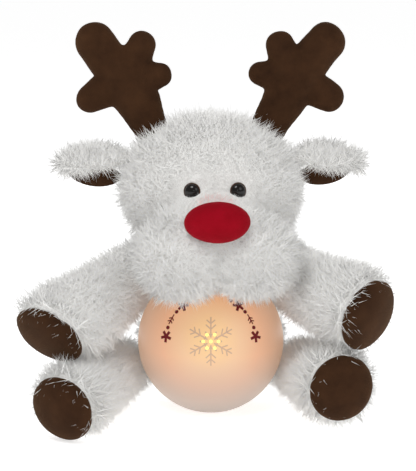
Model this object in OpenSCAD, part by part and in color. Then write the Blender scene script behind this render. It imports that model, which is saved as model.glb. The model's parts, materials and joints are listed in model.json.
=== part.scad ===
// Seated soft-toy reindeer with a battery lamp for a belly.
// Millimetres, +Z up. The face looks along -Y, and the origin lies on the floor under the neck.
// "left" and "right" are the animal's own sides: left is +X.

/* [Lamp] */
// Outer radius of the frosted globe
globe_r = 53; // [50:0.5:54]
// Centre of the globe
globe_c = [0, -18, 50]; // [-20:1:55]
// Wall of the globe and of the moulded housing
lamp_wall = 2; // [1.6:0.2:2.4]
// Radius of the housing where it meets the globe
bowl_r = 48; // [46:0.5:48]
// How far the housing reaches behind the neck axis
bowl_back = 34; // [30:1:38]
// Upward tilt of the light post and of the print in front of it
post_tilt = 13.6; // [8:0.1:18]
// Radius of the round light board
board_r = 9.5; // [9:0.5:11]
// Radius of the ring of lights
led_ring_r = 5.5; // [5:0.25:6]
// Outer width, depth and height of the battery base
base_size = [60, 46, 16]; // [16:1:62]

/* [Batteries] */
// Diameter of an AAA cell
cell_d = 10.5; // [10.2:0.1:10.5]
// Length of an AAA cell
cell_len = 44.5; // [44:0.1:44.5]
// Distance between neighbouring cells
cell_pitch = 11.2; // [11:0.1:11.3]

/* [Body] */
// Distance of the torso's upright axis behind the neck axis
torso_y = 8; // [6:1:10]
// Largest radius of the torso
torso_r = 54; // [53:0.5:56]
// Height of the torso
torso_h = 102; // [100:1:103]
// Thickness of the backing cloth
cloth = 1.5; // [1.2:0.1:2]
// Radius of the neck ball
neck_r = 20; // [16:1:22]
// Height of the neck pivot
neck_z = 108; // [107:1:110]
// Radius of the tail
tail_r = 11; // [9:1:13]

/* [Head] */
// Height of the head centre
head_z = 160; // [158:1:163]
// Half width, half depth and half height of the head
head_r = [63, 57, 51]; // [50:1:64]
// Turn of the face towards the left side at rest
head_yaw = 3; // [0:0.5:5]
// Centre of the muzzle
muzzle_c = [0, -56, 124]; // [-58:1:126]
// Half width, half depth and half height of the muzzle
muzzle_r = [53, 32, 28]; // [26:1:54]
// Centre of the bridge between the forehead and the nose
bridge_c = [0, -50, 143]; // [-52:1:144]
// Half width, half depth and half height of the bridge
bridge_r = [36, 31, 23]; // [22:1:38]
// Centre of the nose
nose_c = [0, -82, 149]; // [-84:1:151]
// Half width, half depth and half height of the nose
nose_r = [23, 12, 14.5]; // [10:0.5:24]
// Distance from the middle of the face to an eye
eye_x = 15.8; // [14:0.2:18]
// Height of the eyes
eye_z = 166; // [163:0.5:168]
// Radius of an eye
eye_r = 5.6; // [5:0.1:6.5]

/* [Antlers and ears] */
// Pivot of the left antler, mirrored for the right one
antler_root = [44, 5, 206]; // [0:1:210]
// Radius of the antler's root
antler_root_r = 13.5; // [12:0.5:14]
// Thickness of an antler as a part of its width
antler_flat = 0.68; // [0.6:0.02:0.8]
// Pivot of the left ear, mirrored for the right one
ear_root = [64, 1, 180]; // [0:1:184]
// Radius of the ear's root
ear_root_r = 7; // [6:0.5:8]
// Length of an ear from its pivot
ear_len = 46; // [40:1:50]
// Width of an ear
ear_w = 36; // [30:1:40]

/* [Arms and legs] */
// Pivot of the left shoulder, mirrored for the right one
shoulder = [56, 14, 92]; // [0:1:94]
// Middle of the left paw's sole
left_paw = [113, -88, 83]; // [-90:1:116]
// Middle of the right paw's sole
right_paw = [-117, -82, 66]; // [-118:1:70]
// Pivot of the left hip, mirrored for the right one
hip = [68, 8, 20.5]; // [8:0.5:70]
// Middle of the left foot's sole
left_foot = [92, -99, 36]; // [-100:1:94]
// Middle of the right foot's sole
right_foot = [-104, -111, 24]; // [-112:1:28]
// Root and end radius of an arm
arm_r = [20, 25.5]; // [15:0.5:27]
// Root and end radius of a leg
leg_r = [19.5, 23]; // [17:0.5:24]
// How far a sole bulges past the end of its limb
sole_dome = 9; // [6:0.5:12]

/* [Hidden] */
$fn = 64;
gap = 0.6;
fill_gap = 0.3;
far = 400;
left = 1;
right = -1;
rim_y = globe_c.y + 10;
torso_front = -2;
tail_z = 34;
base_c = [0, 17.5, 8];
bay_size = [53, 34.4, 14];
bay_c = [0, base_c.y + 3.7, bay_size.z / 2];
cells_y = [for (i = [-1:1]) bay_c.y + i * cell_pitch];
cell_z = 8.4;
door_size = [52.4, 33.8, 1.8];
switch_x = 16;
switch_y = -1;
post_len = 41;
post_r = 5;
board_t = 1.2;
neck_c = [0, 0, neck_z];
smooth_steps = 10;
lip_r = sqrt(pow(globe_r - lamp_wall, 2) - pow(rim_y - globe_c.y, 2)) - 0.6;
wire_r = 0.6;

// ---- shared shapes ----

module ellipsoid(c, r) {
    translate(c) scale(r) sphere(r = 1);
}

// Everything above the floor.
module above_floor() {
    translate([-far / 2, -far / 2, 0]) cube(far);
}

// A block with its middle at c.
module block(c, size) {
    translate(c) cube(size, center = true);
}

// Turns a shape drawn along +Z so that it runs from p towards q.
module aim(p, q) {
    d = q - p;
    translate(p) rotate([0, acos(d.z / norm(d)), atan2(d.y, d.x)]) children();
}

// Turns a shape drawn along +Z so that it runs along +Y from the point c.
module along_y(c) {
    translate(c) rotate([-90, 0, 0]) children();
}

// Places the head's pieces with the face turned a little.
module on_head() {
    rotate([0, 0, head_yaw]) children();
}

function mirrored(p, side) = [p.x * side, p.y, p.z];
function ease(t) = t * t * (3 - 2 * t);
function reversed(v) = [for (i = [len(v) - 1:-1:0]) v[i]];

// ---- limbs: solids of revolution with a round root and a domed sole ----

function limb_root(r, inset) =
    [for (i = [0:smooth_steps]) let (a = 90 * i / smooth_steps)
        [(r[0] - inset) * sin(a), -(r[0] - inset) * cos(a)]];
function limb_side(r, length, inset) =
    [for (i = [1:smooth_steps]) let (t = i / smooth_steps)
        [r[0] + (r[1] - r[0]) * ease(t) - inset, length * t]];
function limb_dome(r, length, inset) =
    [for (i = [0:smooth_steps]) let (a = 90 * i / smooth_steps)
        [(r[1] - inset) * cos(a), length + (sole_dome - inset) * sin(a)]];

function limb_length(root, sole) = norm(sole - root) - sole_dome;

// Cloth tube, open where the sole is sewn in.
module limb_cover(root, sole, r) {
    length = limb_length(root, sole);
    outer = concat(limb_root(r, 0), limb_side(r, length, 0));
    inner = concat(limb_root(r, cloth), limb_side(r, length, cloth));
    aim(root, sole) rotate_extrude() polygon(concat(outer, reversed(inner)));
}

module limb_sole(root, sole, r) {
    length = limb_length(root, sole);
    outer = limb_dome(r, length, 0);
    inner = limb_dome(r, length, cloth);
    aim(root, sole) rotate_extrude() polygon(concat(outer, reversed(inner)));
}

module limb_fill(root, sole, r) {
    length = limb_length(root, sole);
    inset = cloth + fill_gap;
    aim(root, sole) rotate_extrude()
        polygon(concat(limb_root(r, inset), limb_side(r, length, inset), limb_dome(r, length, inset)));
}

// ---- lamp ----

// The globe without its foot: a ball cut flat where it stands.
module ball(r, floor_z) {
    intersection() {
        translate(globe_c) sphere(r = r);
        translate([0, 0, floor_z]) above_floor();
    }
}

module lamp_globe() {
    color("bisque") difference() {
        ball(globe_r, 0);
        ball(globe_r - lamp_wall, lamp_wall);
        translate([-far / 2, rim_y, -far / 2]) cube(far);
    }
}

// Half profile of the rear bowl, from its rim to the middle of its back.
function bowl_profile(inset) =
    [for (i = [0:smooth_steps]) let (a = 90 * i / smooth_steps)
        [(bowl_r - inset) * pow(cos(a), 0.7), (bowl_back - rim_y - 2 - inset) * sin(a) + 2]];

module bowl_solid(grow) {
    along_y([globe_c.x, rim_y, globe_c.z]) rotate_extrude()
        polygon(concat([[0, -6]], [[bowl_r + grow, -6]], bowl_profile(-grow)));
}

module bowl_shell() {
    along_y([globe_c.x, rim_y, globe_c.z]) rotate_extrude()
        polygon(concat([[bowl_r - lamp_wall, -6], [lip_r, -6], [lip_r, 0.1], [globe_r - 1, 0.1],
            [globe_r - 1, 2]],
            bowl_profile(0), reversed(bowl_profile(lamp_wall))));
}

module lamp_housing() {
    color("whitesmoke") difference() {
        intersection() {
            union() {
                bowl_shell();
                block(base_c, base_size);
                post_socket();
            }
            above_floor();
        }
        block(bay_c - [0, 0, 0.5], bay_size + [0, 0, 1]);
        block([switch_x, switch_y, 4.4], [13, 5.4, 9]);
        screw_places() cylinder(r = 1.1, h = 9, $fn = 32);
        translate([-far / 2, rim_y - far, lamp_wall + gap - far]) cube(far);
    }
}

// Pillar on the battery base with a socket that carries the light post.
module post_socket() {
    along_post(-26) cylinder(r = 8, h = 32);
    block([0, 0, 31], [12, 10, 34]);
}

// A frame on the axis of the light post, s millimetres in front of the globe's centre.
module along_post(s) {
    translate(globe_c) rotate([90 - post_tilt, 0, 0]) translate([0, 0, s]) children();
}

module screw_places() {
    for (x = [-28.2, 28.2]) for (y = [0, 38])
        translate([x, y, -0.1]) children();
}

// Screws through the base, heads sunk level with its underside.
module housing_screws() {
    color("silver") screw_places() translate([0, 0, 0.4]) cylinder(r = 1.05, h = 8);
}

// Elastic hem that grips the housing behind the globe, open where the battery base stands.
module hem_band() {
    color("snow") intersection() {
        along_y([globe_c.x, rim_y + 2.3, globe_c.z]) rotate_extrude()
            polygon([[bowl_r + 0.6, 0], [globe_r - 1, 0], [globe_r - 1, 3.4], [bowl_r + 0.6, 3.4]]);
        translate([0, 0, base_size.z + 0.4]) above_floor();
    }
}

module led_post() {
    color("white") along_post(0) difference() {
        union() {
            translate([0, 0, 6.2]) cylinder(r = post_r, h = post_len - 6.2);
            translate([0, 0, post_len - 2]) cylinder(r = board_r, h = 2);
        }
        translate([0, 0, 8]) cylinder(r = post_r - 1.6, h = post_len);
        board_holes() translate([0, 0, post_len - 5]) cylinder(r = 0.75, h = 6, $fn = 24);
    }
}

module board_holes() {
    for (i = [0:1]) rotate([0, 0, 90 + 180 * i]) translate([board_r - 1.6, 0, 0]) children();
}

module led_board() {
    color("darkgreen") along_post(post_len + 0.05) difference() {
        cylinder(r = board_r, h = board_t);
        board_holes() translate([0, 0, -1]) cylinder(r = 0.85, h = 4, $fn = 24);
    }
}

module board_screws() {
    color("silver") along_post(0) board_holes() {
        translate([0, 0, post_len - 4.5]) cylinder(r = 0.7, h = 5.75);
        translate([0, 0, post_len + board_t + 0.05]) cylinder(r = 1.3, h = 0.8);
    }
}

module led_places() {
    children();
    for (i = [0:5]) rotate([0, 0, 60 * i]) translate([led_ring_r, 0, 0]) children();
}

module led_lights() {
    color("gold") along_post(post_len + board_t + 0.05) led_places() {
        cylinder(r = 1.6, h = 1);
        translate([0, 0, 1]) intersection() {
            sphere(r = 1.4);
            cylinder(r = 3, h = 3);
        }
    }
}

module driver_chip() {
    color("dimgray") along_post(post_len - 1.6) block([0, 0, 0.8], [3.6, 3.6, 1.6]);
}

module switch_body() {
    color("black") difference() {
        block([switch_x, switch_y, 5.6], [12.4, 5, 5.2]);
        block([switch_x, switch_y, 3.2], [8, 2.8, 2.4]);
    }
}

module switch_knob() {
    color("black") {
        block([switch_x - 1.5, switch_y, 3.2], [3.6, 2, 1.6]);
        block([switch_x - 1.5, switch_y, 1.6], [2.6, 1.6, 1.8]);
    }
}

module battery(y) {
    color("slategray") translate([-cell_len / 2, y, cell_z]) rotate([0, 90, 0]) {
        cylinder(r = cell_d / 2, h = cell_len - 1);
        translate([0, 0, cell_len - 1.01]) cylinder(r = 1.9, h = 1);
    }
}

module battery_front() battery(cells_y[0]);
module battery_middle() battery(cells_y[1]);
module battery_rear() battery(cells_y[2]);

// A coil spring's outline at the flat end of each cell.
module contact_springs() {
    color("silver") for (y = cells_y)
        translate([-bay_size.x / 2 + 0.1, y, cell_z]) rotate([0, 90, 0]) difference() {
            cylinder(r1 = 4.2, r2 = 2.6, h = 3.8);
            translate([0, 0, -0.01]) cylinder(r1 = 3.6, r2 = 2, h = 3.9);
        }
}

module contact_plates() {
    color("gold") for (y = cells_y)
        block([bay_size.x / 2 - 0.45, y, cell_z], [0.6, 7.5, 7]);
}

module battery_door() {
    color("gainsboro") difference() {
        block([bay_c.x, bay_c.y, 1.1], door_size);
        translate([0, bay_c.y + 14, -1]) cylinder(r = 1.7, h = 6);
        for (i = [-3:3]) block([0, bay_c.y - 8 + i * 1.6, 0.2], [16, 0.7, 0.6]);
    }
}

module door_screw() {
    color("silver") translate([0, bay_c.y + 14, 0.3]) {
        difference() {
            cylinder(r = 1.6, h = 1.4);
            block([0, 0, 0], [2.4, 0.5, 0.8]);
            block([0, 0, 0], [0.5, 2.4, 0.8]);
        }
    }
}

// ---- wires: round tubes swept along hand-placed points ----

function unit(v) = v / norm(v);
function bend(p, i) = unit(p[min(i + 1, len(p) - 1)] - p[max(i - 1, 0)]);
// One span of a smooth curve through four points.
function curve(a, b, c, d, t) =
    0.5 * (2 * b + (c - a) * t + (2 * a - 5 * b + 4 * c - d) * t * t + (3 * b - a - 3 * c + d) * t * t * t);
function smooth_path(p, n) = concat(
    [for (i = [0:len(p) - 2]) for (k = [0:n - 1])
        curve(p[max(i - 1, 0)], p[i], p[i + 1], p[min(i + 2, len(p) - 1)], k / n)],
    [p[len(p) - 1]]);

module tube(points, r) {
    sides = 8;
    path = smooth_path(points, 6);
    rings = [for (i = [0:len(path) - 1])
        let (t = bend(path, i), u = unit(cross(t, [1, 0.1, 0])), w = cross(u, t))
        for (k = [0:sides - 1]) path[i] + r * (cos(360 * k / sides) * u + sin(360 * k / sides) * w)];
    walls = [for (i = [0:len(path) - 2]) for (k = [0:sides - 1])
        let (a = i * sides + k, b = i * sides + (k + 1) % sides)
        [a, b, b + sides, a + sides]];
    last = (len(path) - 1) * sides;
    polyhedron(rings, concat(walls, [[for (k = [sides - 1:-1:0]) k], [for (k = [0:sides - 1]) last + k]]));
}

// From the battery base up beside the pillar and forward along the post to the board.
function wire_route(side) =
    [for (p = [[9.8, 4, 16], [9.8, 5, 26], [9.9, 1, 37], [9.9, -10, 45], [9.6, -24, 51], [8, -42, 56], [7.4, -55, 58.9]])
        mirrored(p, side)];

module wire_red() color("red") tube(wire_route(left), wire_r);
module wire_black() color("black") tube(wire_route(right), wire_r);

// ---- torso ----

// Half outline of the torso as [radius, height], both as parts of the largest value.
torso_outline = [[0.88, 0], [0.96, 0.06], [1, 0.2], [1, 0.48], [0.95, 0.68], [0.82, 0.83], [0.62, 0.93],
    [0.42, 0.98], [0, 1]];

module torso_solid(inset) {
    translate([0, torso_y, inset]) rotate_extrude()
        polygon(concat([[0, 0]], [for (p = torso_outline)
            [max(p[0] * torso_r - inset, 0), p[1] * (torso_h - 2 * inset)]]));
}

// Round seats that the limbs turn in, with room in front for a leg that closes.
module seats(grow) {
    for (side = [left, right]) {
        translate(mirrored(shoulder, side)) sphere(r = arm_r[0] + 2 * gap + grow);
        translate(mirrored(shoulder + [2, -12, 0.5], side)) sphere(r = arm_r[0] + 4 * gap + grow);
        translate(mirrored(hip, side)) sphere(r = leg_r[0] + gap + grow);
        translate(mirrored(hip, side) - [0, 13, 0]) sphere(r = leg_r[0] + 4 * gap + grow);
    }
}

module torso_form(inset) {
    difference() {
        torso_solid(inset);
        seats(inset);
    }
}

module in_front_of_rim() {
    translate([-far / 2, torso_front - far, -far / 2]) cube(far);
}

module torso_cover() {
    color("ivory") difference() {
        torso_form(0);
        torso_form(cloth);
        in_front_of_rim();
        block(base_c, base_size + [0.8, 0.8, 0.8]);
    }
}

module torso_stuffing() {
    color("white") difference() {
        torso_form(cloth + fill_gap);
        in_front_of_rim();
        bowl_solid(0.8);
        block(base_c, base_size + [1.6, 1.6, 1.6]);
    }
}

// Half outline of the tail, from its seam on the torso's back to its tip.
function tail_outline(inset) = [for (a = [-40:10:90])
    [(tail_r - inset) * cos(a), tail_r * sin(40) + (tail_r - inset) * sin(a)]];

module on_tail() {
    along_y([0, torso_y + torso_r + 0.3, tail_z]) rotate_extrude() children();
}

module tail_cover() {
    color("ivory") on_tail() polygon(concat(tail_outline(0), reversed(tail_outline(cloth))));
}

module tail_stuffing() {
    inset = cloth + fill_gap;
    color("white") on_tail() polygon(concat([[0, inset * sin(40)]], tail_outline(inset)));
}

// Blank folded label sewn into the side seam.
module sewn_label() {
    color("white") translate([-43.3, 53.4, 20]) rotate([0, 0, 43]) block([0, 0, 0], [0.6, 16, 20]);
}

module neck_core() {
    color("ivory") intersection() {
        translate(neck_c) sphere(r = neck_r);
        translate([0, 0, neck_z - 4]) above_floor();
    }
}

// ---- head ----

module head_seats(grow) {
    for (side = [left, right]) {
        translate(mirrored(antler_root, side)) sphere(r = antler_root_r + gap + grow);
        translate(mirrored(ear_root, side)) sphere(r = ear_root_r + gap + grow);
    }
}

module neck_seat(grow) {
    translate(neck_c) sphere(r = neck_r + gap + grow);
}

module head_form(inset) {
    difference() {
        ellipsoid([0, 0, head_z], head_r - [inset, inset, inset]);
        head_seats(inset);
        neck_seat(inset);
    }
}

module head_cover() {
    color("ivory") on_head() difference() {
        head_form(0);
        head_form(cloth);
        eye_places() cylinder(r = 1.5, h = 16, center = true);
    }
}

module head_stuffing() {
    color("white") on_head() difference() {
        head_form(cloth + fill_gap);
        eye_places() cylinder(r = 6.6, h = 16, center = true);
    }
}

// Frames on the head's surface at the eyes, +Z pointing outwards.
module eye_places() {
    for (side = [left, right]) eye_place(side) children();
}

module eye_place(side) {
    x = eye_x * side / head_r.x;
    z = (eye_z - head_z) / head_r.z;
    y = -sqrt(1 - x * x - z * z);
    surface = [x * head_r.x, y * head_r.y, head_z + z * head_r.z];
    aim(surface, surface + [x / head_r.x, y / head_r.y, z / head_r.z]) children();
}

// Domed button with a ribbed shank through the cloth.
module eye(side) {
    color("black") on_head() eye_place(side) {
        rotate_extrude() polygon(concat([[0, -6.5], [1.3, -6.5], [1.3, 0.2]],
            [for (a = [0:9:90]) [eye_r * cos(a), 0.2 + 0.75 * eye_r * sin(a)]]));
    }
}

module washer(side) {
    color("white") on_head() eye_place(side) translate([0, 0, -3.4]) difference() {
        cylinder(r = 6, h = 1.2);
        translate([0, 0, -1]) cylinder(r = 1.35, h = 4);
    }
}

module left_eye() eye(left);
module right_eye() eye(right);
module left_eye_washer() washer(left);
module right_eye_washer() washer(right);

module muzzle_solid(inset) {
    ellipsoid(muzzle_c, muzzle_r - [inset, inset, inset]);
    ellipsoid(bridge_c, bridge_r - [inset, inset, inset]);
}

module muzzle_form(inset) {
    difference() {
        muzzle_solid(inset);
        ellipsoid([0, 0, head_z], head_r + [0.2, 0.2, 0.2]);
        ellipsoid(nose_c, nose_r + [0.2, 0.2, 0.2]);
        eye_places() sphere(r = eye_r + gap);
    }
}

module muzzle_cover() {
    color("ivory") on_head() difference() {
        muzzle_form(0);
        muzzle_solid(cloth);
    }
}

module muzzle_stuffing() {
    color("white") on_head() muzzle_form(cloth + fill_gap);
}

module nose_cover() {
    color("firebrick") on_head() difference() {
        ellipsoid(nose_c, nose_r);
        ellipsoid(nose_c, nose_r - [cloth, cloth, cloth]);
        ellipsoid([0, 0, head_z], head_r + [0.2, 0.2, 0.2]);
    }
}

module nose_stuffing() {
    inset = cloth + fill_gap;
    color("white") on_head() difference() {
        ellipsoid(nose_c, nose_r - [inset, inset, inset]);
        ellipsoid([0, 0, head_z], head_r + [0.5, 0.5, 0.5]);
    }
}

// ---- antlers and ears ----

// Lobes of the left antler as [outwards, up, radius] from its pivot.
palm = [17, 32, 19];
antler_lobes = [[39, 59, 14.5], [6, 57, 10.5], [-8, 36, 9], [43, 19, 10.5]];

module lobe(at, inset) {
    translate([at[0], 0, at[1]]) scale([1, antler_flat, 1]) sphere(r = at[2] - inset, $fn = 20);
}

module antler(side, inset) {
    translate(mirrored(antler_root, side)) mirror([side == left ? 0 : 1, 0, 0]) {
        hull() {
            sphere(r = antler_root_r - inset, $fn = 24);
            lobe(palm, inset);
        }
        for (at = antler_lobes) hull() {
            lobe([palm[0], palm[1], palm[2] * 0.8], inset);
            lobe(at, inset);
        }
    }
}

// The cloth is left open under the root, where the antler was filled.
module antler_cover(side) {
    color("saddlebrown") on_head() difference() {
        antler(side, 0);
        antler(side, cloth);
        translate(mirrored(antler_root, side) - [0, 0, antler_root_r + 2]) cylinder(r = 6, h = 8, $fn = 24);
    }
}

module antler_fill(side) {
    color("white") on_head() antler(side, cloth + fill_gap);
}

module left_antler_cover() antler_cover(left);
module right_antler_cover() antler_cover(right);
module left_antler_stuffing() antler_fill(left);
module right_antler_stuffing() antler_fill(right);

// The upper fold of an ear is a furry leaf; the lining of its lower fold hangs behind and below.
module ear_frame(side) {
    translate(mirrored(ear_root, side)) mirror([side == left ? 0 : 1, 0, 0])
        rotate([22, 6, 8]) children();
}

module ear_cover(side) {
    color("ivory") on_head() ear_frame(side) union() {
        sphere(r = ear_root_r);
        translate([ear_len / 2 + 1, 0, 1.5]) scale([ear_len / 2, ear_w / 2, 3.5]) sphere(r = 1);
    }
}

module ear_lining(side) {
    color("saddlebrown") on_head() ear_frame(side) translate([ear_len / 2, 3.2, -12.8])
        rotate([-92, 0, 0]) rotate([0, 0, -14]) linear_extrude(1.2, center = true)
            scale([ear_len / 2 - 4.5, ear_w / 4]) circle(r = 1);
}

module left_ear_cover() ear_cover(left);
module right_ear_cover() ear_cover(right);
module left_ear_lining() ear_lining(left);
module right_ear_lining() ear_lining(right);

// ---- arms and legs ----

right_shoulder = mirrored(shoulder, right);
right_hip = mirrored(hip, right);

module left_arm_cover() color("ivory") limb_cover(shoulder, left_paw, arm_r);
module right_arm_cover() color("ivory") limb_cover(right_shoulder, right_paw, arm_r);
module left_arm_stuffing() color("white") limb_fill(shoulder, left_paw, arm_r);
module right_arm_stuffing() color("white") limb_fill(right_shoulder, right_paw, arm_r);
module left_paw_pad() color("saddlebrown") limb_sole(shoulder, left_paw, arm_r);
module right_paw_pad() color("saddlebrown") limb_sole(right_shoulder, right_paw, arm_r);
module left_leg_cover() color("ivory") limb_cover(hip, left_foot, leg_r);
module right_leg_cover() color("ivory") limb_cover(right_hip, right_foot, leg_r);
module left_leg_stuffing() color("white") limb_fill(hip, left_foot, leg_r);
module right_leg_stuffing() color("white") limb_fill(right_hip, right_foot, leg_r);
module left_foot_pad() color("saddlebrown") limb_sole(hip, left_foot, leg_r);
module right_foot_pad() color("saddlebrown") limb_sole(right_hip, right_foot, leg_r);

lamp_globe();
lamp_housing();
hem_band();
led_post();
led_board();
led_lights();
driver_chip();
board_screws();
housing_screws();
switch_body();
switch_knob();
battery_front();
battery_middle();
battery_rear();
contact_springs();
contact_plates();
battery_door();
door_screw();
wire_red();
wire_black();
torso_cover();
torso_stuffing();
tail_cover();
tail_stuffing();
sewn_label();
neck_core();
head_cover();
head_stuffing();
muzzle_cover();
muzzle_stuffing();
nose_cover();
nose_stuffing();
left_eye();
right_eye();
left_eye_washer();
right_eye_washer();
left_antler_cover();
right_antler_cover();
left_antler_stuffing();
right_antler_stuffing();
left_ear_cover();
right_ear_cover();
left_ear_lining();
right_ear_lining();
left_arm_cover();
right_arm_cover();
left_arm_stuffing();
right_arm_stuffing();
left_paw_pad();
right_paw_pad();
left_leg_cover();
right_leg_cover();
left_leg_stuffing();
right_leg_stuffing();
left_foot_pad();
right_foot_pad();
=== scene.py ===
# %% [markdown]
# # A seated plush reindeer with a lit belly
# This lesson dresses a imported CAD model: a soft toy that sits on the floor, with a frosted globe
# for a belly. The CAD model knows where everything is and how it moves. Here every soft piece gets
# its real surface: a smooth stuffed skin, thousands of curved hairs, velour, stitching and glow.

# %% Load the frame
import json
import math

import bmesh
import bpy
import numpy as np
from mathutils import Matrix, Vector, noise

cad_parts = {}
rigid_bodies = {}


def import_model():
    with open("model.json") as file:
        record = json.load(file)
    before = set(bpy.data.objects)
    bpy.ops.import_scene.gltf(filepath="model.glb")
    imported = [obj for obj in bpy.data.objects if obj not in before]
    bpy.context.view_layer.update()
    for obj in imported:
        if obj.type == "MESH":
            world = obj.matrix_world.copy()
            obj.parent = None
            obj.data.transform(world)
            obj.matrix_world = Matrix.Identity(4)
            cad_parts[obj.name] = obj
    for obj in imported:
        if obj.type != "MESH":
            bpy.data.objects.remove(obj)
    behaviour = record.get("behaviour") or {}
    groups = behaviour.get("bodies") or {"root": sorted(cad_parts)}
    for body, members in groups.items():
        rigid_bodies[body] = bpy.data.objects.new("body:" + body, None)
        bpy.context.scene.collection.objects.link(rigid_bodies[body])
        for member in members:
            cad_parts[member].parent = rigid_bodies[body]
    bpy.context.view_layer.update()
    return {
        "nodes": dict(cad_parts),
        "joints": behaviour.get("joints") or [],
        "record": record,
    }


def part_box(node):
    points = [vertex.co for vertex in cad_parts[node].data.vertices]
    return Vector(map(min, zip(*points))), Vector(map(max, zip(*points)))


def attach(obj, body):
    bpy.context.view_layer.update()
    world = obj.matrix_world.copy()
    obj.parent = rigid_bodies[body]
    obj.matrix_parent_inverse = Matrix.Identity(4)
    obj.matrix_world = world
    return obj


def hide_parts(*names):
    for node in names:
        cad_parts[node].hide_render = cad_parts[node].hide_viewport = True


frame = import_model()
MM = 0.001
NODES = frame["nodes"]
scene = bpy.context.scene
print("frame loaded with", len(NODES), "CAD nodes")


# %% [markdown]
# ## Places
# The soft pieces have to sit exactly where the CAD model's solids do, or they would drift from the
# joints. The places could be typed in again, but then two files would have to agree. So a node's
# box gives its middle and half size here, and a joint gives the seam that a limb hangs from. The
# toy's face is turned a few degrees to its own left.

# %% Places from the frame
def corners(node):
    low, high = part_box(node)
    return Vector(low), Vector(high)


def middle(node):
    low, high = corners(node)
    return (low + high) / 2


def half(node):
    low, high = corners(node)
    return (high - low) / 2


def joint_at(name):
    return next(Vector(j["pos_m"]) for j in frame["joints"] if j["name"] == name)


def facing_turn(way):
    """A turn that takes the Z axis to way."""
    return way.to_track_quat("Z", "Y").to_matrix().to_4x4()


FACE_TURN = math.radians(3)
TURN = Matrix.Rotation(FACE_TURN, 4, "Z")
SIDES = {"left": 1, "right": -1}
HEAD = middle("head_cover")
HEAD_R = Vector((63, 57, 51)) * MM
HEAD.z = corners("head_cover")[1].z - HEAD_R.z
NOSE = middle("nose_cover")
EYES = {side: middle(side + "_eye") for side in SIDES}
GLOBE_R = half("lamp_globe").x * 1.003
GLOBE = Vector((0, corners("lamp_globe")[0].y + GLOBE_R, corners("lamp_globe")[1].z - GLOBE_R))
FLOOR_GAP = 0.3 * MM
DOWN = Vector((0, 0, -1))
print("head at", HEAD, "globe at", GLOBE, "radius", round(GLOBE_R, 4))


# %% [markdown]
# ## Camera, floor and light
# The toy is seen from the front and a little above, from about a metre away, as on a table-top
# set. A single bright lamp would be quick, but it would draw a hard shadow of every hair. Big soft
# lamps above and on both sides let the pile shade gently, and one small lamp gives each eye its
# highlight.

# %% Camera
CAMERA_TARGET = Vector((-2, -25, 129)) * MM
CAMERA_RISE = math.radians(11)
CAMERA_AWAY = 1.1
CAMERA_LENS = 117.1
VIEW = Vector((0, -math.cos(CAMERA_RISE), math.sin(CAMERA_RISE)))
camera = bpy.data.objects.new("camera", bpy.data.cameras.new("camera"))
camera.location = CAMERA_TARGET + VIEW * CAMERA_AWAY
camera.rotation_euler = (-VIEW).to_track_quat("-Z", "Y").to_euler()
camera.data.lens = CAMERA_LENS
camera.data.sensor_width = 36
camera.data.clip_start = 0.05
scene.collection.objects.link(camera)
scene.camera = camera
print("camera", CAMERA_AWAY, "m away with a", CAMERA_LENS, "mm lens")


# %% Floor and lights
LAMPS_FACE = Vector((0, 0, 0.13))
WORLD_LIGHT = 0.40


def lamp(name, place, size, watts):
    light = bpy.data.lights.new(name, "AREA")
    light.shape = "DISK"
    light.size = size
    light.energy = watts
    piece = bpy.data.objects.new(name, light)
    piece.location = place
    way = LAMPS_FACE - Vector(place)
    piece.rotation_euler = way.to_track_quat("-Z", "Y").to_euler()
    scene.collection.objects.link(piece)


def new_piece(name, bm, material=None):
    mesh = bpy.data.meshes.new(name)
    bm.to_mesh(mesh)
    bm.free()
    piece = bpy.data.objects.new(name, mesh)
    scene.collection.objects.link(piece)
    if material:
        mesh.materials.append(material)
    return piece


def smooth_shading(mesh):
    for face in mesh.polygons:
        face.use_smooth = True


lamp("key_light", (-0.35, -0.8, 1.6), 0.8, 11)
lamp("fill_light", (1.1, -0.9, 0.9), 0.9, 3)
lamp("back_light", (0.2, 1.1, 1.1), 0.9, 5)
lamp("eye_light", (0.25, -1.4, 0.55), 0.12, 0.5)
world = bpy.data.worlds.new("studio")
world.use_nodes = True
world.node_tree.nodes["Background"].inputs["Color"].default_value = (1, 1, 1, 1)
world.node_tree.nodes["Background"].inputs["Strength"].default_value = WORLD_LIGHT
scene.world = world
scene.view_settings.view_transform = "Standard"


# %% [markdown]
# ## Shader maths as expressions
# A material is a small network of nodes. It could be built by hand in the editor, or node by node
# in long code. Here `Wire` wraps one output, so that `1 - mask` or `a * b` adds the Math node by
# itself, and `Finish.node` adds any other node in one line, which keeps a recipe readable.

# %% The shader helpers
class Wire:
    def __init__(self, finish, socket):
        self.finish = finish
        self.socket = socket

    def _op(self, operation, first, second):
        return self.finish.node("ShaderNodeMath", {"operation": operation}, {0: first, 1: second})

    def __add__(self, other):
        return self._op("ADD", self, other)

    def __sub__(self, other):
        return self._op("SUBTRACT", self, other)

    def __rsub__(self, other):
        return self._op("SUBTRACT", other, self)

    def __mul__(self, other):
        return self._op("MULTIPLY", self, other)

    def __truediv__(self, other):
        return self._op("DIVIDE", self, other)

    def __pow__(self, other):
        return self._op("POWER", self, other)

    __radd__ = __add__
    __rmul__ = __mul__


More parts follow.
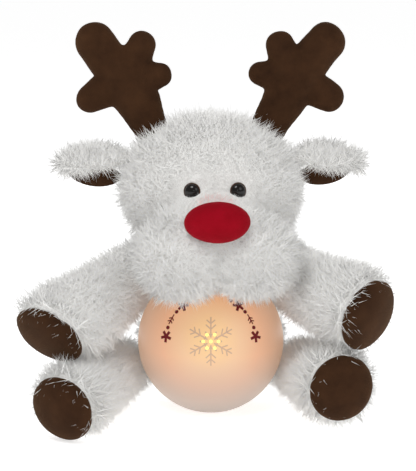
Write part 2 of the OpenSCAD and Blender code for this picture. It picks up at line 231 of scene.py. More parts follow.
class Finish:
    """One material and its Principled shader."""

    def __init__(self, name, **values):
        self.material = bpy.data.materials.new(name)
        self.material.use_nodes = True
        self.tree = self.material.node_tree
        self.shader = self.tree.nodes["Principled BSDF"]
        for socket, value in values.items():
            self.set(socket.replace("_", " "), value)

    def set(self, socket, value):
        target = self.shader.inputs[socket]
        if isinstance(value, Wire):
            self.tree.links.new(value.socket, target)
        elif isinstance(value, tuple) and len(value) == 3 and len(target.default_value) == 4:
            target.default_value = (*value, 1)
        else:
            target.default_value = value

    def node(self, kind, settings=None, inputs=None, out=0):
        made = self.tree.nodes.new(kind)
        for name, value in (settings or {}).items():
            if name == "stops":
                self._ramp(made.color_ramp, value)
            else:
                setattr(made, name, value)
        for key, value in (inputs or {}).items():
            if isinstance(value, Wire):
                self.tree.links.new(value.socket, made.inputs[key])
            else:
                made.inputs[key].default_value = value
        return Wire(self, made.outputs[out])

    def _ramp(self, ramp, stops):
        while len(ramp.elements) < len(stops):
            ramp.elements.new(0.5)
        for element, (place, colour) in zip(ramp.elements, stops):
            element.position = place
            element.color = (*colour, 1)

    def place(self):
        return self.node("ShaderNodeTexCoord", out="Object")

    def noise(self, scale, detail=2, roughness=0.5):
        return self.node("ShaderNodeTexNoise", {}, {"Vector": self.place(), "Scale": scale,
                         "Detail": detail, "Roughness": roughness})

    def split(self, vector):
        return [self.node("ShaderNodeSeparateXYZ", {}, {0: vector}, out=i) for i in range(3)]

    def blend(self, factor, low, high):
        return self.node("ShaderNodeMix", {"data_type": "RGBA"},
                         {"Factor": factor, 6: (*low, 1) if isinstance(low, tuple) else low,
                          7: (*high, 1) if isinstance(high, tuple) else high}, out=2)

    def ramp(self, value, stops):
        return self.node("ShaderNodeValToRGB", {"stops": stops}, {"Fac": value})

    def bump(self, height, depth, strength=1.0):
        self.set("Normal", self.node("ShaderNodeBump", {},
                 {"Height": height, "Distance": depth, "Strength": strength}))


print("shader helpers ready")


# %% [markdown]
# ## Finishes
# The pile is plain white fibre in a few close tones, and its look comes from real hairs, so these
# materials stay simple; a little light of their own stands for what scatters from fibre to fibre.
# Velour is the opposite: its nap is too short to model, so one skin gets a fine grain in its bump,
# a sheen at its edges, and lighter and darker patches where a hand has brushed it.

# %% Fur tones
# Every fur tone glows faintly by itself: painted light that stands for the light scattered from
# fibre to fibre and lifts the shade between hairs.
FUR_PAINTED_GLOW = 0.10


def fur_tone(name, colour):
    return Finish(name, Base_Color=colour, Roughness=0.9, Specular_IOR_Level=0.1,
                  Emission_Color=colour, Emission_Strength=FUR_PAINTED_GLOW).material


FUR_TONES = [fur_tone("fur_white", (0.95, 0.945, 0.925)),
             fur_tone("fur_milk", (0.93, 0.925, 0.905)),
             fur_tone("fur_shade", (0.90, 0.89, 0.865))]
BLUSH_TONES = [fur_tone("fur_blush", (0.90, 0.66, 0.63)),
               fur_tone("fur_pink", (0.92, 0.78, 0.75)),
               FUR_TONES[1]]
print(len(FUR_TONES), "fur tones and", len(BLUSH_TONES), "blush tones")


# %% Cloth finishes
def knit_backing():
    made = Finish("knit_backing", Roughness=0.9, Specular_IOR_Level=0.1)
    grain = made.noise(900, 3)
    made.set("Base Color", made.blend(grain, (0.80, 0.79, 0.76), (0.92, 0.91, 0.89)))
    made.bump(grain, 0.0004, 0.6)
    return made.material


def velour(name, deep, bright, sheen):
    made = Finish(name, Roughness=0.88, Sheen_Weight=0.22, Sheen_Roughness=0.4,
                  Sheen_Tint=sheen, Specular_IOR_Level=0.08)
    patches = made.noise(55, 3, 0.6)
    nap = made.noise(2600, 2, 0.7)
    brushed = made.ramp(patches * 0.75 + nap * 0.35, [(0.30, deep), (0.78, bright)])
    made.set("Base Color", brushed)
    made.bump(nap, 0.00035, 0.8)
    return made.material


KNIT = knit_backing()
BROWN = velour("brown_velour", (0.022, 0.009, 0.004), (0.060, 0.026, 0.011), (0.60, 0.36, 0.20))
RED = velour("red_velour", (0.22, 0.0006, 0.005), (0.33, 0.002, 0.012), (0.9, 0.12, 0.16))
print("cloth finishes ready")


# %% [markdown]
# ## Stuffed skins
# A stuffed piece has no edges: its panels are pulled round by the filling. Such a skin could be
# sculpted, or inflated by a cloth simulation. Under long pile the cloth's own folds never show, so
# a quicker way is enough: each skin starts as a few overlapping balls, is wrapped in one closed
# surface by a voxel remesh, and is then relaxed until the balls flow into each other.

# %% Making a skin
def ball(bm, centre, radii, turn=None):
    size = Matrix.Diagonal((*radii, 1))
    matrix = Matrix.Translation(centre) @ (turn or Matrix.Identity(4)) @ size
    return bmesh.ops.create_icosphere(bm, subdivisions=4, radius=1, matrix=matrix)["verts"]


def finished(piece):
    """Applies a piece's modifiers to its mesh."""
    depsgraph = bpy.context.evaluated_depsgraph_get()
    mesh = bpy.data.meshes.new_from_object(piece.evaluated_get(depsgraph))
    piece.modifiers.clear()
    old = piece.data
    piece.data = mesh
    bpy.data.meshes.remove(old)


def wrapped(name, bm, voxel, rounds, material):
    piece = new_piece(name, bm)
    remesh = piece.modifiers.new("wrap", "REMESH")
    remesh.mode = "VOXEL"
    remesh.voxel_size = voxel
    relax = piece.modifiers.new("relax", "SMOOTH")
    relax.factor = 0.7
    relax.iterations = rounds
    finished(piece)
    piece.data.materials.clear()
    piece.data.materials.append(material)
    smooth_shading(piece.data)
    return piece


def keep_above_floor(piece):
    for vertex in piece.data.vertices:
        vertex.co.z = max(vertex.co.z, FLOOR_GAP)


GLOBE_BACK = GLOBE.y + 12 * MM


def keep_out_of_globe(piece, clear):
    for vertex in piece.data.vertices:
        away = vertex.co - GLOBE
        if away.length < GLOBE_R + clear and vertex.co.y < GLOBE_BACK:
            vertex.co = GLOBE + away.normalized() * (GLOBE_R + clear)


def soft_skin(piece, body, nodes):
    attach(piece, body)
    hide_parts(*nodes)


# %% [markdown]
# ## Fur
# Real pile is a field of tapered fibres that lean the way the cloth was brushed. A bump or a
# picture of fur would leave the outline smooth, and a particle system cannot be handed on as a
# mesh, so every hair is real geometry, with as few faces as it can have. One hair is a three-sided
# cone with a joint half way, bent forward. A few bent hairs are scattered over the skin by a small
# Geometry Nodes tree: its density, the way each hair leans and its length are read from values
# painted on the skin's vertices. The result is turned into a plain mesh, and its shading is tilted
# towards the skin's, as light scatters in a real coat.

# %% One hair
HAIR_BENDS = (0.06, 0.16, 0.26)
HAIR_BELLY = 1.5


def hair_variants(thick, tones):
    """Bent hairs of length one, one in each tone; the belly keeps the middle from going thin."""
    folder = bpy.data.collections.new("hairs")
    for index, bend in enumerate(HAIR_BENDS):
        bm = bmesh.new()
        bmesh.ops.create_cone(bm, cap_ends=True, segments=3, radius1=thick, radius2=0, depth=1,
                              matrix=Matrix.Translation((0, 0, 0.5)))
        bmesh.ops.bisect_plane(bm, geom=bm.verts[:] + bm.edges[:] + bm.faces[:],
                               plane_co=(0, 0, 0.5), plane_no=(0, 0, 1))
        for vert in bm.verts:
            if 0.1 < vert.co.z < 0.9:
                vert.co.x *= HAIR_BELLY
                vert.co.y *= HAIR_BELLY
            vert.co.x += bend * vert.co.z ** 2
        mesh = bpy.data.meshes.new("hair")
        bm.to_mesh(mesh)
        bm.free()
        mesh.materials.append(tones[index % len(tones)])
        smooth_shading(mesh)
        folder.objects.link(bpy.data.objects.new(f"hair_{index}", mesh))
    return folder


print(len(HAIR_BENDS), "bends of hair")


# %% The scattering tree
HAIR_JITTER = 0.11
FULL_GIRTH_AT = 9 * MM


def fur_tree(folder, density, seed):
    tree = bpy.data.node_groups.new("fur", "GeometryNodeTree")
    tree.interface.new_socket("Geometry", in_out="INPUT", socket_type="NodeSocketGeometry")
    tree.interface.new_socket("Geometry", in_out="OUTPUT", socket_type="NodeSocketGeometry")

    def add(kind, inputs=None, **settings):
        made = tree.nodes.new(kind)
        for name, value in settings.items():
            setattr(made, name, value)
        for key, value in (inputs or {}).items():
            if isinstance(value, bpy.types.NodeSocket):
                tree.links.new(value, made.inputs[key])
            else:
                made.inputs[key].default_value = value
        return made

    def painted(name, kind):
        return add("GeometryNodeInputNamedAttribute", {"Name": name}, data_type=kind).outputs[0]

    def chance(low, high, kind, offset):
        first = 0 if kind == "FLOAT_VECTOR" else 2
        made = add("FunctionNodeRandomValue", {first: low, first + 1: high, "Seed": seed + offset},
                   data_type=kind)
        return made.outputs[0 if kind == "FLOAT_VECTOR" else 1]

    source = add("NodeGroupInput").outputs[0]
    amount = add("ShaderNodeMath", {0: painted("fur_amount", "FLOAT"), 1: density},
                 operation="MULTIPLY").outputs[0]
    scatter = add("GeometryNodeDistributePointsOnFaces",
                  {"Mesh": source, "Density": amount, "Seed": seed})
    kept = add("GeometryNodeStoreNamedAttribute", {"Geometry": scatter.outputs["Points"],
               "Name": "skin_normal", "Value": scatter.outputs["Normal"]},
               data_type="FLOAT_VECTOR", domain="POINT")
    comb = painted("comb", "FLOAT_VECTOR")
    spread = chance((-HAIR_JITTER,) * 3, (HAIR_JITTER,) * 3, "FLOAT_VECTOR", 1)
    lean = add("ShaderNodeVectorMath", {0: comb, 1: spread}, operation="ADD").outputs[0]
    upright = add("FunctionNodeAlignRotationToVector", {"Vector": lean}, axis="Z").outputs[0]
    turned = add("FunctionNodeAlignRotationToVector",
                 {"Rotation": upright, "Vector": comb_flow(add, comb, scatter)},
                 axis="X", pivot_axis="Z").outputs[0]
    length = add("ShaderNodeMath",
                 {0: painted("fur_length", "FLOAT"), 1: chance(0.7, 1.15, "FLOAT", 2)},
                 operation="MULTIPLY").outputs[0]
    thicker = add("ShaderNodeMath", {0: length, 1: FULL_GIRTH_AT}, operation="MULTIPLY").outputs[0]
    girth = add("ShaderNodeMath", {0: thicker, 1: 0.5}, operation="POWER").outputs[0]
    size = add("ShaderNodeCombineXYZ", {0: girth, 1: girth, 2: length}).outputs[0]
    hairs = add("GeometryNodeCollectionInfo", {"Collection": folder, "Separate Children": True,
                "Reset Children": True}).outputs[0]
    placed = add("GeometryNodeInstanceOnPoints", {"Points": kept.outputs[0], "Instance": hairs,
                 "Pick Instance": True, "Rotation": turned, "Scale": size})
    real = add("GeometryNodeRealizeInstances", {"Geometry": placed.outputs[0]})
    tree.links.new(real.outputs[0], add("NodeGroupOutput").inputs[0])
    return tree


def comb_flow(add, comb, scatter):
    """The part of the comb direction that lies along the skin."""
    lift = add("ShaderNodeVectorMath", {0: comb, 1: scatter.outputs["Normal"]},
               operation="DOT_PRODUCT").outputs["Value"]
    upward = add("ShaderNodeVectorMath", {0: scatter.outputs["Normal"], "Scale": lift},
                 operation="SCALE").outputs[0]
    return add("ShaderNodeVectorMath", {0: comb, 1: upward}, operation="SUBTRACT").outputs[0]


# %% Painting the coat and growing it
LOCKS = 85
LOCK_TURN = 0.16
LOCK_LENGTH = 0.3
LOCK_SEED = 7
SKIN_SHADING = 0.82
HAIR_THICK = 0.021
noise.seed_set(LOCK_SEED)  # noise_vector takes its offsets from this, or else from the clock


def paint(skin, rule):
    """Stores what rule(place, normal) returns: the comb direction, the length and the amount.
    A slow noise bends the comb and the length, which gathers the hairs into soft locks."""
    mesh = skin.data
    comb = mesh.attributes.new("comb", "FLOAT_VECTOR", "POINT")
    length = mesh.attributes.new("fur_length", "FLOAT", "POINT")
    amount = mesh.attributes.new("fur_amount", "FLOAT", "POINT")
    for vertex in mesh.vertices:
        way, reach, share = rule(vertex.co, vertex.normal)
        lock = noise.noise_vector(vertex.co * LOCKS)
        comb.data[vertex.index].vector = (way + lock * LOCK_TURN).normalized()
        length.data[vertex.index].value = reach * (1 + LOCK_LENGTH * lock.z)
        amount.data[vertex.index].value = share


def grow(skin, name, body, rule, density, seed, tones=None, thick=HAIR_THICK):
    """Grows a coat of density hairs a square millimetre on a copy of the skin, as a plain mesh."""
    piece = bpy.data.objects.new(name, skin.data.copy())
    scene.collection.objects.link(piece)
    paint(piece, rule)
    folder = hair_variants(thick, tones or FUR_TONES)
    scatter = piece.modifiers.new("fur", "NODES")
    per_m2 = density * 1e6 * 1
    scatter.node_group = fur_tree(folder, per_m2, seed)
    finished(piece)
    mesh = piece.data
    count = len(mesh.vertices)
    own = np.empty(count * 3, dtype=np.float32)
    mesh.vertices.foreach_get("normal", own)
    skin_way = np.empty(count * 3, dtype=np.float32)
    mesh.attributes["skin_normal"].data.foreach_get("vector", skin_way)
    shade = own * (1 - SKIN_SHADING) + skin_way * SKIN_SHADING
    settle_hairs(mesh)
    mesh.normals_split_custom_set_from_vertices(shade.reshape(-1, 3).tolist())
    for extra in ("comb", "fur_length", "fur_amount", "skin_normal"):
        if extra in mesh.attributes:
            mesh.attributes.remove(mesh.attributes[extra])
    for hair in list(folder.objects):
        bpy.data.objects.remove(hair)
    bpy.data.collections.remove(folder)
    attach(piece, body)
    print(name, len(mesh.polygons), "faces")


HAIR_OFF_GLOBE = 0.5 * MM
HAIR_GLOBE_BACK = GLOBE.y + 14 * MM


def settle_hairs(mesh):
    """Hairs lie on the floor and on the globe instead of passing through them."""
    place = np.empty(len(mesh.vertices) * 3, dtype=np.float32)
    mesh.vertices.foreach_get("co", place)
    place = place.reshape(-1, 3)
    place[:, 2] = np.maximum(place[:, 2], FLOOR_GAP)
    globe = np.array(GLOBE, dtype=np.float32)
    away = place - globe
    far = np.linalg.norm(away, axis=1)
    limit = GLOBE_R + HAIR_OFF_GLOBE
    inside = (far < limit) & (place[:, 1] < HAIR_GLOBE_BACK)
    place[inside] = globe + away[inside] / far[inside, None] * limit
    mesh.vertices.foreach_set("co", place.ravel())


def combed(normal, flow, lift):
    """A direction that leaves the skin by lift and otherwise follows flow along it."""
    along = flow - normal * flow.dot(normal)
    if along.length > 1e-6:
        along.normalize()
    return (normal * lift + along * (1 - lift)).normalized()


print("coat is gathered in about", LOCKS, "locks a metre")


# %% [markdown]
# ## Head and muzzle
# The head is a wide stuffed ball. The muzzle is sewn below it from two cheek panels, so a shallow
# groove runs down its middle, and a bridge carries the nose. The coat starts short around the nose
# and the eyes and gets longer towards the cheeks, where it hangs over the top of the globe. One
# coat for the whole head would be too heavy a piece, so it is grown in parts that meet unseen:
# face, nape and muzzle on each side, and the pink blush between the eyes.

# %% The head's skin
def head_balls():
    """The head itself, a cheek on each side of the muzzle's groove, and the nose's bridge."""
    bm = bmesh.new()
    ball(bm, HEAD, HEAD_R - Vector((1, 1, 1)) * MM, TURN)
    for side in SIDES.values():
        ball(bm, TURN @ Vector((23.5 * side, -57, 120)) * MM, Vector((31, 29, 26)) * MM, TURN)
    ball(bm, TURN @ Vector((0, -50, 143)) * MM, Vector((35, 30, 22)) * MM, TURN)
    return bm


head_skin = wrapped("head_skin", head_balls(), 2.6 * MM, 9, KNIT)
soft_skin(head_skin, "head", ["head_cover", "head_stuffing", "muzzle_cover", "muzzle_stuffing"])
CHIN_PART = TURN @ Vector((0, -90, 131)) * MM
NOSE_LIP = NOSE + TURN @ Vector((0, 0, -15)) * MM
EYE_CLEAR = 6.8 * MM
NOSE_CLEAR = (21, 18, 12)


def head_coat(place, normal):
    """Combed away from the nose, and longer with every step from it."""
    from_nose = place - NOSE
    flow = from_nose.normalized() + DOWN * 0.25
    reach = (5 + 8 * min(max((from_nose.length - 22 * MM) / (55 * MM), 0), 1)) * MM
    return combed(normal, flow, 0.42), short_by_eyes(place, reach)


def muzzle_coat(place, normal):
    """Combed away from the top of the groove, but raised and longer under the nose."""
    from_part = place - CHIN_PART
    rise = max(0.0, 1 - (place - NOSE_LIP).length / (15 * MM))
    flow = from_part.normalized() + DOWN * (0.2 - 1.8 * rise)
    reach = (6.5 + 6.5 * min(from_part.length / (45 * MM), 1) + 4.5 * rise) * MM
    return combed(normal, flow, 0.36), reach


def short_by_eyes(place, reach):
    """Hair shortens towards an eye, so that none lies across it."""
    nearest = min((place - eye).length for eye in EYES.values())
    return min(reach, max(3.2 * MM, (nearest - 4 * MM) * 0.7))


def is_muzzle(place):
    return place.y < -38 * MM and place.z < 150 * MM - 0.35 * (place.y + 60 * MM)


def bare(place):
    """True where the nose and the eyes cover the skin."""
    from_nose = place - NOSE
    x, y, z = NOSE_CLEAR
    if (Vector((from_nose.x / x, from_nose.y / y, from_nose.z / z)) / MM).length < 1:
        return True
    return any((place - eye).length < EYE_CLEAR for eye in EYES.values())


BLUSH_AT = NOSE + Vector((0, 6, 15)) * MM
BLUSH_R = 17 * MM


def face_part(side, front, back):
    """The rule of one coat: the muzzle (front), the nape (back) or the face between them."""
    def rule(place, normal):
        muzzle = is_muzzle(place)
        way, reach = (muzzle_coat if muzzle else head_coat)(place, normal)
        mine = (place.x - NOSE.x) * side > 0 and muzzle == front and (place.y > HEAD.y) == back
        blush = (place - BLUSH_AT).length < BLUSH_R
        return way, reach, float(mine and not bare(place) and not blush)
    return rule


def blush_part(place, normal):
    way, reach = head_coat(place, normal)
    return way, reach, float((place - BLUSH_AT).length < BLUSH_R and not bare(place))


HEAD_COATS = {"face": (False, False, 1.7, 10), "nape": (False, True, 0.78, 14),
              "muzzle": (True, False, 2.15, 20)}
for side, sign in SIDES.items():
    for part, (front, back, density, seed) in HEAD_COATS.items():
        grow(head_skin, f"{side}_{part}_fur", "head", face_part(sign, front, back), density,
             seed=seed + sign)
grow(head_skin, "blush_fur", "head", blush_part, 2.6, seed=24, tones=BLUSH_TONES)


# %% [markdown]
# ## Nose and eyes
# The nose is a flat pillow of red velour, sewn round its edge. A plain flattened ball would look
# moulded, so slow waves pull its surface about by half a millimetre, as a filling does. The eyes
# are polished domes on shanks, each in a thin brown rim. They are turned shapes, so a sphere and a
# spun ring are the shortest way to them.

# %% The nose
def push_out(piece, height):
    """Moves each vertex along its normal by height(place)."""
    vertices = piece.data.vertices
    moves = [vertex.normal * height(vertex.co) for vertex in vertices]
    for vertex, move in zip(vertices, moves):
        vertex.co += move


def soft_waves(piece, amount, scale):
    push_out(piece, lambda place: amount * noise.noise(place * scale))


def nose_balls():
    bm = bmesh.new()
    ball(bm, NOSE, half("nose_cover") * 0.99, TURN)
    return bm


nose = wrapped("nose_velour", nose_balls(), 1.2 * MM, 2, RED)
soft_waves(nose, 0.5 * MM, 60)
soft_skin(nose, "head", ["nose_cover", "nose_stuffing"])
print("nose is", round(2 * half("nose_cover").x / MM), "mm wide")


# %% The eyes
EYE_BLACK = Finish("eye_black", Base_Color=(0.006, 0.004, 0.003), Roughness=0.05,
                   Specular_IOR_Level=0.35).material
EYE_BROWN = Finish("eye_brown", Base_Color=(0.060, 0.022, 0.008), Roughness=0.25).material
EYE_R = 5.5 * MM
EYE_HEIGHT = 4.3 * MM
RIM_R = 0.55 * MM
RIM_RISE = 0.6 * MM


def eye(side):
    place = EYES[side]
    out = (place - HEAD).normalized()
    turn = facing_turn(out)
    bm = bmesh.new()
    dome = Matrix.Diagonal((EYE_R, EYE_R, EYE_HEIGHT, 1))
    bmesh.ops.create_uvsphere(bm, u_segments=40, v_segments=24, radius=1,
                              matrix=Matrix.Translation(place) @ turn @ dome)
    button = new_piece(side + "_button_eye", bm, EYE_BLACK)
    smooth_shading(button.data)
    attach(button, "head")
    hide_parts(side + "_eye")
    ring = bmesh.new()
    upright = Matrix.Translation((EYE_R, 0, 0)) @ Matrix.Rotation(math.pi / 2, 4, "X")
    bmesh.ops.create_circle(ring, segments=10, radius=RIM_R, matrix=upright)
    bmesh.ops.spin(ring, geom=ring.edges[:] + ring.verts[:], cent=(0, 0, 0), axis=(0, 0, 1),
                   angle=math.tau, steps=40, use_merge=True)
    bmesh.ops.recalc_face_normals(ring, faces=ring.faces[:])
    bmesh.ops.transform(ring, verts=ring.verts[:],
                        matrix=Matrix.Translation(place + out * RIM_RISE) @ turn)
    rim = new_piece(side + "_eye_rim", ring, EYE_BROWN)
    smooth_shading(rim.data)
    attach(rim, "head")


for side in SIDES:
    eye(side)
print("face ready")


# %% [markdown]
# ## Antlers
# Each antler is two panels of velour, sewn round their outline and stuffed. An outline could be
# drawn and inflated, but rows of flattened balls give the same plump tines with a few numbers, and
# the wrap joins them as soft cloth does. A groove along the middle of the edge is the seam.

# %% Antlers
ANTLER_LOBES = [((39, 59), 14.8), ((6, 57), 10.8), ((-8, 36), 9.4), ((43, 19), 10.9)]
PALM = (17, 32)
ANTLER_FLAT = 0.68
SEAM_DEPTH = 0.7 * MM
SEAM_HALF = 0.9 * MM


def tine(bm, matrix, start, start_r, end, end_r, steps):
    """A row of flattened balls between two points of the antler's own plane, in millimetres."""
    for index in range(steps + 1):
        t = index / steps
        u = start[0] + (end[0] - start[0]) * t
        v = start[1] + (end[1] - start[1]) * t
        r = start_r + (end_r - start_r) * t
        size = Matrix.Diagonal((r * MM, r * ANTLER_FLAT * MM, r * MM, 1))
        bmesh.ops.create_icosphere(bm, subdivisions=3, radius=1,
                                   matrix=matrix @ Matrix.Translation((u * MM, 0, v * MM)) @ size)


def antler(side, sign):
    root = joint_at(side + "_antler_bend")
    matrix = Matrix.Translation(root) @ TURN @ Matrix.Diagonal((sign, 1, 1, 1))
    bm = bmesh.new()
    tine(bm, matrix, (0, 0), 13.6, PALM, 19.2, 6)
    for end, radius in ANTLER_LOBES:
        tine(bm, matrix, PALM, 15.4, end, radius, 7)
    bmesh.ops.recalc_face_normals(bm, faces=bm.faces[:])
    piece = wrapped(side + "_antler", bm, 0.9 * MM, 8, BROWN)
    soft_waves(piece, 1.5 * MM, 55)
    upright = matrix.inverted()
    push_out(piece, lambda place: -SEAM_DEPTH
             * math.exp(-((upright @ place).y / SEAM_HALF) ** 2))
    soft_skin(piece, side + "_antler", [side + "_antler_cover", side + "_antler_stuffing"])


for side, sign in SIDES.items():
    antler(side, sign)
print("antlers ready")


# %% [markdown]
# ## Ears
# An ear is a leaf of plush with a smaller leaf of velour that hangs below it, and long hair hangs
# over the edge. A folded sheet would need its thickness added later; a row of flat balls, wide in
# the middle, is a closed leaf from the start.

# %% Ears
LINING_R = (20 * MM, 9.6 * MM, 1.3 * MM)
LINING_CURL = 2.5 * MM


def turned_by(degrees, axis):
    return Matrix.Rotation(math.radians(degrees), 4, axis)


def ear_frame(side, sign):
    root = joint_at(side + "_ear_flop")
    tilt = turned_by(8, "Z") @ turned_by(6, "Y") @ turned_by(22, "X")
    return Matrix.Translation(root) @ TURN @ Matrix.Diagonal((sign, 1, 1, 1)) @ tilt


def ear(side, sign):
    matrix = ear_frame(side, sign)
    bm = bmesh.new()
    for index in range(7):
        t = index / 6
        width = 5 + 12.5 * math.sin(math.pi * (0.12 + 0.80 * t))
        size = Matrix.Diagonal((7 * MM, width * MM, 3.2 * MM, 1))
        place = Matrix.Translation(((2 + 38 * t) * MM, 0, (1.5 + 3 * math.sin(math.pi * t)) * MM))
        bmesh.ops.create_icosphere(bm, subdivisions=3, radius=1, matrix=matrix @ place @ size)
    bmesh.ops.recalc_face_normals(bm, faces=bm.faces[:])
    leaf = wrapped(side + "_ear", bm, 1.8 * MM, 5, KNIT)
    soft_skin(leaf, side + "_ear", [side + "_ear_cover"])
    lining = bmesh.new()
    bmesh.ops.create_uvsphere(lining, u_segments=48, v_segments=24, radius=1,
                              matrix=Matrix.Diagonal((*LINING_R, 1)))
    for vert in lining.verts:
        vert.co.z += LINING_CURL * (vert.co.x / LINING_R[0]) ** 2
    hang = Matrix.Translation((23.5 * MM, 3.2 * MM, -11.6 * MM)) @ turned_by(-92, "X") \
        @ turned_by(-14, "Z")
    bmesh.ops.transform(lining, verts=lining.verts[:], matrix=matrix @ hang)
    bmesh.ops.recalc_face_normals(lining, faces=lining.faces[:])
    inner = new_piece(side + "_ear_velour", lining, BROWN)
    smooth_shading(inner.data)
    soft_skin(inner, side + "_ear", [side + "_ear_lining"])
    tip_way = (matrix.to_3x3() @ Vector((1, 0, 0))).normalized()
    under = (matrix.to_3x3() @ Vector((0, 0, -1))).normalized()
    root = matrix.translation

    def coat(place, normal):
        along = (place - root).dot(tip_way)
        reach = (8 + 6 * min(max(along / (46 * MM), 0), 1)) * MM
        covered = normal.dot(under) > 0.8
        flow = tip_way + DOWN * 0.2
        return combed(normal, flow, 0.3), reach, 0.0 if covered else 1.0

    grow(leaf, side + "_ear_fur", side + "_ear", coat, 3.1, seed=30 + sign)


for side, sign in SIDES.items():
    ear(side, sign)
print("ears ready")


# %% [markdown]
# ## Arms and legs
# Each limb is a stuffed tube that ends in a domed velour sole. The coat runs down the limb and
# stands out in a fringe round the sole. A leg lies on the floor, so its underside is flat. A bent
# cylinder would pinch where it turns; a row of growing balls keeps its thickness, and one function
# makes all four limbs from a sole's place and the joint that the limb hangs from.

# %% Limbs
SOLES = {"left_arm": (113, -88, 83), "right_arm": (-117, -82, 66),
         "left_leg": (92, -99, 36), "right_leg": (-104, -111, 24)}
SOLE_DOME = 9.5 * MM


def limb(side, kind, pad, joint, radii, tilt, seed):
    name = f"{side}_{kind}"
    root = joint_at(f"{side}_{joint}")
    reach_out = Vector(SOLES[name]) * MM - root
    axis, length = reach_out.normalized(), reach_out.length
    facing = (axis + Vector(tilt)).normalized()
    turn = facing_turn(facing)
    start_r, end_r = radii[0] * MM, radii[1] * MM
    sole_at = root + axis * (length - SOLE_DOME)
    droop = 0.5 if kind == "arm" else 0.2
    bm = bmesh.new()
    for index in range(8):
        t = index / 7
        radius = start_r + (end_r - start_r) * t * t * (3 - 2 * t)
        ball(bm, root.lerp(sole_at - axis * end_r * 0.85, t), Vector((1, 1, 1)) * radius)
    ball(bm, sole_at - facing * 7 * MM, (end_r, end_r, 9 * MM), turn)
    skin = wrapped(name + "_skin", bm, 3 * MM, 4, KNIT)
    keep_above_floor(skin)
    keep_out_of_globe(skin, 1 * MM)
    soft_skin(skin, name, [name + "_cover", name + "_stuffing"])
    sole_bm = bmesh.new()
    ball(sole_bm, sole_at, (end_r, end_r, SOLE_DOME), turn)
    sole = wrapped(f"{side}_{pad}_velour", sole_bm, 1.4 * MM, 2, BROWN)
    soft_waves(sole, 0.5 * MM, 50)
    keep_above_floor(sole)
    soft_skin(sole, name, [f"{side}_{pad}_pad"])

    def coat(place, normal):
        along = (place - root).dot(axis) / length
        fringe = min(max((along - 0.6) / 0.3, 0), 1)
        low = min(max(place.z / (14 * MM), 0.3), 1)
        covered = (place - sole_at).dot(facing) > -5 * MM
        flow = axis + DOWN * droop * low
        reach = (11 + 4 * fringe) * MM
        return combed(normal, flow, 0.38 - 0.02 * fringe), reach * low, 0.0 if covered else 1.0

    def half_coat(front):
        """The coat of the side that is seen most, or of the rest, where fewer hairs do."""
        def rule(place, normal):
            way, reach, share = coat(place, normal)
            return way, reach, share * float((normal.y < 0.15) == front)
        return rule

    grow(skin, name + "_front_fur", name, half_coat(True), 1.5, seed=seed)
    grow(skin, name + "_rear_fur", name, half_coat(False), 0.7, seed=seed + 10)


ARM_R = (21, 26)
LEG_R = (20.5, 23.5)
limb("left", "arm", "paw", "arm_raise", ARM_R, (0.45, 0, -0.25), 41)
limb("right", "arm", "paw", "arm_raise", ARM_R, (-0.05, 0, -0.55), 42)
limb("left", "leg", "foot", "leg_close", LEG_R, (0.15, 0, -0.15), 43)
limb("right", "leg", "foot", "leg_close", LEG_R, (-0.25, 0, -0.25), 44)
print("limbs ready")


# %% [markdown]
# ## Torso, neck and tail
# Behind the globe sits a pear-shaped cushion of plush, cut flat where the lamp's housing begins. A
# short stuffed neck carries the head, and a ball of a tail is sewn to the back. They are mostly
# hidden, so they are made like the limbs, from balls; the torso and the neck get thin coats, the
# torso's of thicker hairs.

# %% Torso
TORSO_LOW, TORSO_HIGH = corners("torso_cover")
TORSO_AXIS = Vector((0, TORSO_HIGH.y - half("torso_cover").x, 0))
TORSO_R = half("torso_cover").x
TORSO_H = TORSO_HIGH.z
TORSO_SHAPE = ((0.25, 0.97), (0.48, 0.98), (0.68, 0.80), (0.80, 0.42))


def torso_balls():
    """Balls at shares of the height and of the radius, cut flat where the housing begins."""
    bm = bmesh.new()
    for height, reach in TORSO_SHAPE:
        centre = TORSO_AXIS + Vector((0, 0, TORSO_H * height))
        ball(bm, centre, (TORSO_R * reach, TORSO_R * reach, TORSO_H * 0.24))
    bmesh.ops.bisect_plane(bm, geom=bm.verts[:] + bm.edges[:] + bm.faces[:],
                           plane_co=(0, TORSO_LOW.y + 1.5 * MM, 0), plane_no=(0, -1, 0),
                           clear_outer=True)
    edges = [edge for edge in bm.edges if edge.is_boundary]
    bmesh.ops.holes_fill(bm, edges=edges, sides=0)
    return bm


torso_skin = wrapped("torso_skin", torso_balls(), 3 * MM, 6, KNIT)
keep_above_floor(torso_skin)
keep_out_of_globe(torso_skin, 1 * MM)
soft_skin(torso_skin, "torso", ["torso_cover", "torso_stuffing"])


def torso_coat(place, normal):
    flow = DOWN + Vector((0, 0.15, 0))
    low = min(max(place.z / (16 * MM), 0.3), 1)
    share = float(place.y > TORSO_LOW.y + 2.5 * MM and normal.z > -0.9)
    return combed(normal, flow, 0.4), 9 * MM * low, share


grow(torso_skin, "torso_fur", "torso", torso_coat, 0.62, seed=70, thick=0.027)


# %% Neck and tail
def stuffed_ball(name, node, body, reach, density, seed, filling=()):
    centre = middle(node)
    bm = bmesh.new()
    ball(bm, centre, half(node) * 0.98)
    skin = wrapped(name + "_skin", bm, 2.5 * MM, 3, KNIT)
    soft_skin(skin, body, [node, *filling])

    def coat(place, normal):
        return combed(normal, DOWN, 0.55), reach, 1.0

    grow(skin, name + "_fur", body, coat, density, seed=seed)


stuffed_ball("neck", "neck_core", "neck", 5 * MM, 0.6, 60)
stuffed_ball("tail", "tail_cover", "torso", 9 * MM, 1.6, 61, ["tail_stuffing"])
coats = [piece for piece in scene.objects if piece.name.endswith("_fur")]
print("the", len(coats), "coats have", sum(len(coat.data.polygons) for coat in coats), "faces")


